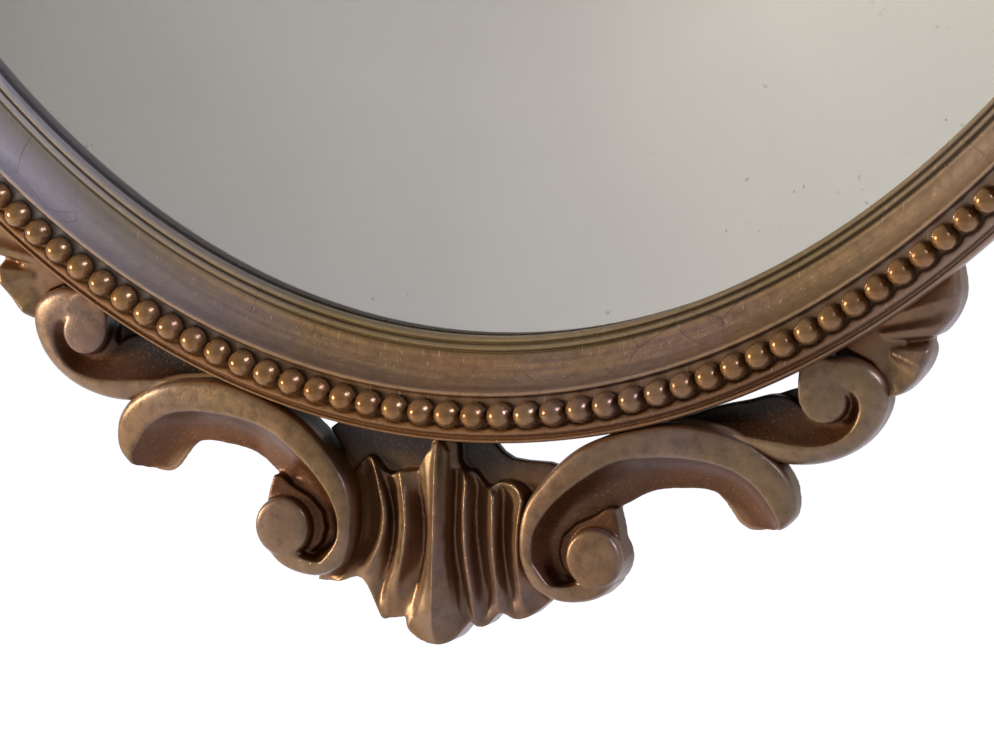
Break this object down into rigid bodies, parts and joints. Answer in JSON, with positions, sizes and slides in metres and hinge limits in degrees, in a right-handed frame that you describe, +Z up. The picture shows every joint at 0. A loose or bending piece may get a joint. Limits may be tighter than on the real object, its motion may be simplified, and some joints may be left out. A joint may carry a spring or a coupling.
{
  "type": "oval wall mirror",
  "caption": "Oval wall mirror in a gilt cove frame with a bead course, and a pierced crest and apron of shell, C scrolls, small scrolls and leaves.",
  "frame": {"origin": "on the flat back of the frame, at the hanger: the middle of the frame's width and of its flat back at the top", "axes": "+Z up, -Y out of the glass towards the viewer, +Y to the wall, +X to the viewer's right"},
  "size_m": [0.5628, 0.0302, 0.927],
  "materials": {
    "gilt": "aged bronze-gold paint over gesso on a wood moulding",
    "carved": "aged bronze-gold paint on carved wood, copper red in the hollows",
    "beads": "aged gold paint on turned wood beads",
    "glass": "polished float glass",
    "silver": "silvering, lightly foxed near the edge",
    "board": "bare hardboard",
    "brass": "dulled brass",
    "steel": "plain steel screws",
    "felt": "dark felt"
  },
  "bodies": {
    "mirror": {"oval_frame": "gilt", "bead_course_1": "beads", "bead_course_2": "beads", "bead_course_3": "beads", "bead_course_4": "beads", "mirror_glass": "glass", "silver_coat": "silver", "backing_board": "board", "button_screw_1": "steel", "button_screw_2": "steel", "button_screw_3": "steel", "button_screw_4": "steel", "hanger_plate": "brass", "hanger_screw_1": "steel", "hanger_screw_2": "steel", "wall_pad_right": "felt", "wall_pad_left": "felt", "apron_shell": "carved", "apron_scroll_right": "carved", "apron_scroll_left": "carved", "apron_small_scroll_right": "carved", "apron_small_scroll_left": "carved", "apron_leaf_right": "carved", "apron_leaf_left": "carved", "crest_shell": "carved", "crest_scroll_right": "carved", "crest_scroll_left": "carved", "crest_small_scroll_right": "carved", "crest_small_scroll_left": "carved", "crest_leaf_right": "carved", "crest_leaf_left": "carved"},
    "turn_button_1": {"turn_button_1": "brass"},
    "turn_button_2": {"turn_button_2": "brass"},
    "turn_button_3": {"turn_button_3": "brass"},
    "turn_button_4": {"turn_button_4": "brass"},
    "hanger_ring": {"hanger_ring": "brass"}
  },
  "joints": [
    {"name": "turn_button_1_pivot", "type": "hinge", "parent": "mirror", "child": "turn_button_1", "pos_m": [0.1962, 0, -0.66663], "axis": [0, 1, 0], "continuous": true},
    {"name": "turn_button_2_pivot", "type": "hinge", "parent": "mirror", "child": "turn_button_2", "pos_m": [0.1962, 0, -0.12527], "axis": [0, 1, 0], "continuous": true},
    {"name": "turn_button_3_pivot", "type": "hinge", "parent": "mirror", "child": "turn_button_3", "pos_m": [-0.1962, 0, -0.66663], "axis": [0, 1, 0], "continuous": true},
    {"name": "turn_button_4_pivot", "type": "hinge", "parent": "mirror", "child": "turn_button_4", "pos_m": [-0.1962, 0, -0.12527], "axis": [0, 1, 0], "continuous": true},
    {"name": "hanger_ring_swing", "type": "hinge", "parent": "mirror", "child": "hanger_ring", "pos_m": [0, 0.00399, 0], "axis": [1, 0, 0], "range_deg": [0, 180]}
  ]
}
